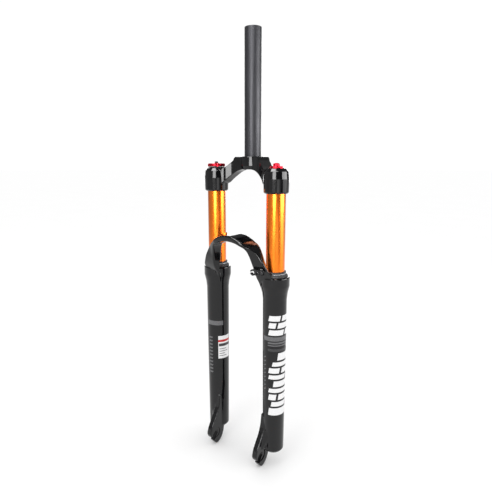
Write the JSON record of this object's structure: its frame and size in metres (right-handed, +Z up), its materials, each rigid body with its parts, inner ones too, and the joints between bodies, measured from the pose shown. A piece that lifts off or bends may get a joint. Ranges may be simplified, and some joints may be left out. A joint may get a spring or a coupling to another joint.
{
  "type": "bicycle suspension fork",
  "caption": "Air-sprung mountain bike suspension fork with straight steerer, orange inner tubes, one-piece lower legs with arch, lockout knob and open dropouts.",
  "frame": {"origin": "where the axis of the steerer meets the crown race seat, the flat ring on top of the crown", "axes": "+Z up along the steerer, +X to the rider's left (disc brake side), -Y forwards to the wheel axle"},
  "size_m": [0.1796, 0.0957, 0.7552],
  "materials": {
    "steerer_satin_black": "satin black anodised",
    "gloss_black_paint": "gloss",
    "orange_anodised": "polished, orange anodised",
    "red_anodised": "red anodised",
    "satin_black_anodised": "satin black anodised",
    "satin_black_steel": "black oxide",
    "bare_aluminium": "machined",
    "steel": "ground",
    "brass": "plain",
    "black_rubber": "matte",
    "black_plastic": "satin",
    "bushing_polymer": "matte",
    "oiled_foam": "oiled foam"
  },
  "bodies": {
    "chassis": {"steerer_tube": "steerer_satin_black", "crown": "gloss_black_paint", "left_inner_tube": "orange_anodised", "right_inner_tube": "orange_anodised", "air_top_cap": "red_anodised", "damper_top_cap": "satin_black_anodised", "air_cap_seal": "black_rubber", "damper_cap_seal": "black_rubber", "air_valve_body": "brass", "damper_tube": "bare_aluminium", "compression_valve": "bare_aluminium", "air_seal_head": "bare_aluminium", "damper_rod_guide": "bare_aluminium", "left_circlip": "steel", "right_circlip": "steel"},
    "lockout": {"lockout_knob": "red_anodised", "lockout_knob_screw": "satin_black_steel", "lockout_shaft": "steel"},
    "valve_cap": {"valve_dust_cap": "red_anodised"},
    "valve_pin": {"valve_core_pin": "steel"},
    "lowers": {"lower_leg_casting": "gloss_black_paint", "left_dust_wiper": "black_rubber", "right_dust_wiper": "black_rubber", "left_garter_spring": "steel", "right_garter_spring": "steel", "left_foam_ring": "oiled_foam", "right_foam_ring": "oiled_foam", "left_upper_bushing": "bushing_polymer", "right_upper_bushing": "bushing_polymer", "left_lower_bushing": "bushing_polymer", "right_lower_bushing": "bushing_polymer", "left_foot_bolt": "satin_black_steel", "right_foot_bolt": "satin_black_steel", "left_foot_washer": "brass", "right_foot_washer": "brass", "air_spring_rod": "steel", "air_piston": "bare_aluminium", "air_piston_seal": "black_rubber", "negative_spring": "steel", "damper_rod": "steel", "damper_piston": "bare_aluminium", "damper_piston_ring": "bushing_polymer", "left_bottom_bumper": "black_rubber", "right_bottom_bumper": "black_rubber", "hose_clip": "black_plastic", "hose_clip_screw": "steel"}
  },
  "joints": [
    {"name": "fork_travel", "type": "slide", "parent": "chassis", "child": "lowers", "axis": [0, 0, 1], "range_m": [0, 0.12], "stiffness_N_per_m": 5500, "springref_m": -0.02, "deforming": ["negative_spring"]},
    {"name": "lockout_turn", "type": "hinge", "parent": "chassis", "child": "lockout", "pos_m": [-0.065, -0.022, -0.0173], "axis": [0, 0, 1], "range_deg": [0, 90]},
    {"name": "valve_cap_lift", "type": "slide", "parent": "chassis", "child": "valve_cap", "axis": [0, 0, 1], "range_m": [0, 0.012]},
    {"name": "valve_pin_press", "type": "slide", "parent": "chassis", "child": "valve_pin", "axis": [0, 0, -1], "range_m": [0, 0.0012], "stiffness_N_per_m": 800}
  ]
}
